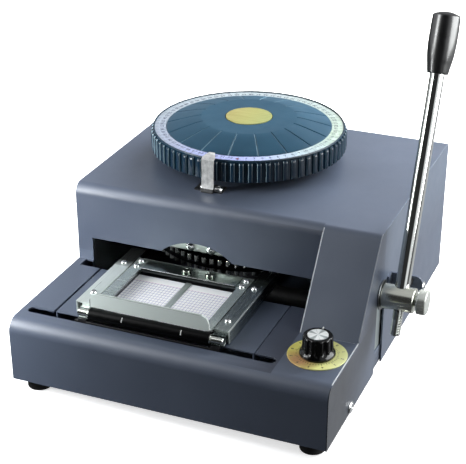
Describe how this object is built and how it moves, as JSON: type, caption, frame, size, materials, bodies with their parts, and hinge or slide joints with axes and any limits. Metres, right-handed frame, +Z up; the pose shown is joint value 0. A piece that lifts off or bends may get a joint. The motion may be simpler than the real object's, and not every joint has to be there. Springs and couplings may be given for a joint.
{
  "type": "plastic card embosser",
  "caption": "Hand-lever plastic card embosser: sheet-metal case, type dial on top, sliding card carriage on the front deck, side press lever and a depth knob.",
  "frame": {"origin": "on the floor plane, under the middle of the overall bounding box", "axes": "+X to the machine's right, +Y from front to back, +Z up"},
  "size_m": [0.345, 0.3714, 0.3262],
  "materials": {
    "painted_case": "satin powder coat, slate grey",
    "zinc_steel": "zinc-plated sheet, satin",
    "steel_bright": "polished chrome plate",
    "nickel": "satin nickel plate",
    "fastener": "bright nickel",
    "rubber_black": "matt",
    "grip_black": "gloss",
    "dial_plastic": "satin teal-blue moulding",
    "ring_white": "printed scale ring",
    "gold_label": "gold anodised plate",
    "black_metal": "satin black",
    "cast": "machined casting",
    "alu": "machined",
    "panel_white": "printed grid",
    "tool_steel": "ground",
    "spring_steel": "drawn wire"
  },
  "bodies": {
    "chassis": {"base_pan": "painted_case", "top_cover": "painted_case", "rear_panel": "painted_case", "deck_center_panel": "painted_case", "rubber_feet": "rubber_black", "foot_screws": "fastener", "cover_side_screws": "nickel", "rear_panel_screws": "fastener", "left_frame_plate": "zinc_steel", "right_frame_plate": "zinc_steel", "frame_tie_bars": "zinc_steel", "ram_guide_bar": "zinc_steel", "ram_guide_screws": "fastener", "spindle_bridge": "cast", "spindle_lower_bearing": "cast", "index_detent": "fastener", "guide_rails": "steel_bright", "rail_posts": "alu", "arm_pivot_shafts": "tool_steel", "lever_bearing_block": "zinc_steel", "lever_return_spring": "spring_steel", "pointer_bracket": "zinc_steel", "pointer_screws": "fastener", "lever_stop_bracket": "black_metal", "lever_stop_bumper": "rubber_black", "depth_scale_plate": "gold_label", "adjuster_housing": "alu"},
    "dial": {"dial_wheel": "dial_plastic", "number_ring": "ring_white", "dial_center_plate": "gold_label", "dial_spindle": "tool_steel", "index_wheel": "tool_steel", "upper_type_wheel": "tool_steel", "lower_type_wheel": "tool_steel"},
    "lever": {"lever_hub": "nickel", "lever_rod": "steel_bright", "lever_grip": "grip_black", "lever_shaft": "tool_steel", "press_cam": "tool_steel"},
    "clamp_knob": {"lever_clamp_knob": "nickel"},
    "upper_arm": {"upper_press_arm": "cast"},
    "lower_arm": {"lower_press_arm": "cast"},
    "depth_control": {"depth_knob": "grip_black", "knob_cap": "alu", "depth_spindle": "tool_steel"},
    "carriage": {"carriage_side_left": "zinc_steel", "carriage_side_right": "zinc_steel", "carriage_bed": "black_metal", "grid_panels": "panel_white", "grid_divider": "zinc_steel", "cross_rod": "steel_bright", "front_slide_block": "black_metal", "rear_slide_block": "alu", "spacing_rack": "tool_steel", "carriage_screws": "fastener"},
    "card_holder": {"holder_frame": "zinc_steel", "holder_runners": "alu", "card_clamp_bar": "zinc_steel", "holder_screws": "fastener"},
    "roller": {"grip_roller": "grip_black"}
  },
  "joints": [
    {"name": "dial_turn", "type": "hinge", "parent": "chassis", "child": "dial", "pos_m": [-0.0465, 0.08025, 0.162], "axis": [0, 0, 1], "continuous": true},
    {"name": "lever_pull", "type": "hinge", "parent": "chassis", "child": "lever", "pos_m": [0.13, -0.04275, 0.0885], "axis": [1, 0, 0], "range_deg": [0, 70], "stiffness_Nm_per_rad": 0.9, "springref_deg": -51.57},
    {"name": "clamp_knob_turn", "type": "hinge", "parent": "lever", "child": "clamp_knob", "pos_m": [0.165, -0.04275, 0.0885], "axis": [1, 0, 0], "range_deg": [-180, 180]},
    {"name": "upper_arm_rock", "type": "hinge", "parent": "chassis", "child": "upper_arm", "pos_m": [-0.02, -0.00075, 0.12], "axis": [1, 0, 0], "range_deg": [-0.5, 5.5]},
    {"name": "lower_arm_rock", "type": "hinge", "parent": "chassis", "child": "lower_arm", "pos_m": [-0.02, -0.00075, 0.042], "axis": [1, 0, 0], "range_deg": [-4, 0.5]},
    {"name": "depth_knob_turn", "type": "hinge", "parent": "chassis", "child": "depth_control", "pos_m": [0.1028, -0.13645, 0.078], "axis": [0, 0, 1], "range_deg": [-150, 150]},
    {"name": "carriage_slide", "type": "slide", "parent": "chassis", "child": "carriage", "axis": [1, 0, 0], "range_m": [-0.033, 0.0485]},
    {"name": "holder_slide", "type": "slide", "parent": "carriage", "child": "card_holder", "axis": [0, 1, 0], "range_m": [0, 0.034]},
    {"name": "roller_turn", "type": "hinge", "parent": "carriage", "child": "roller", "pos_m": [-0.045, -0.15675, 0.0785], "axis": [1, 0, 0], "continuous": true}
  ],
  "couplings": [
    {"joint": "upper_arm_rock", "follows": "lever_pull", "ratio": 0.07},
    {"joint": "lower_arm_rock", "follows": "lever_pull", "ratio": -0.05}
  ]
}
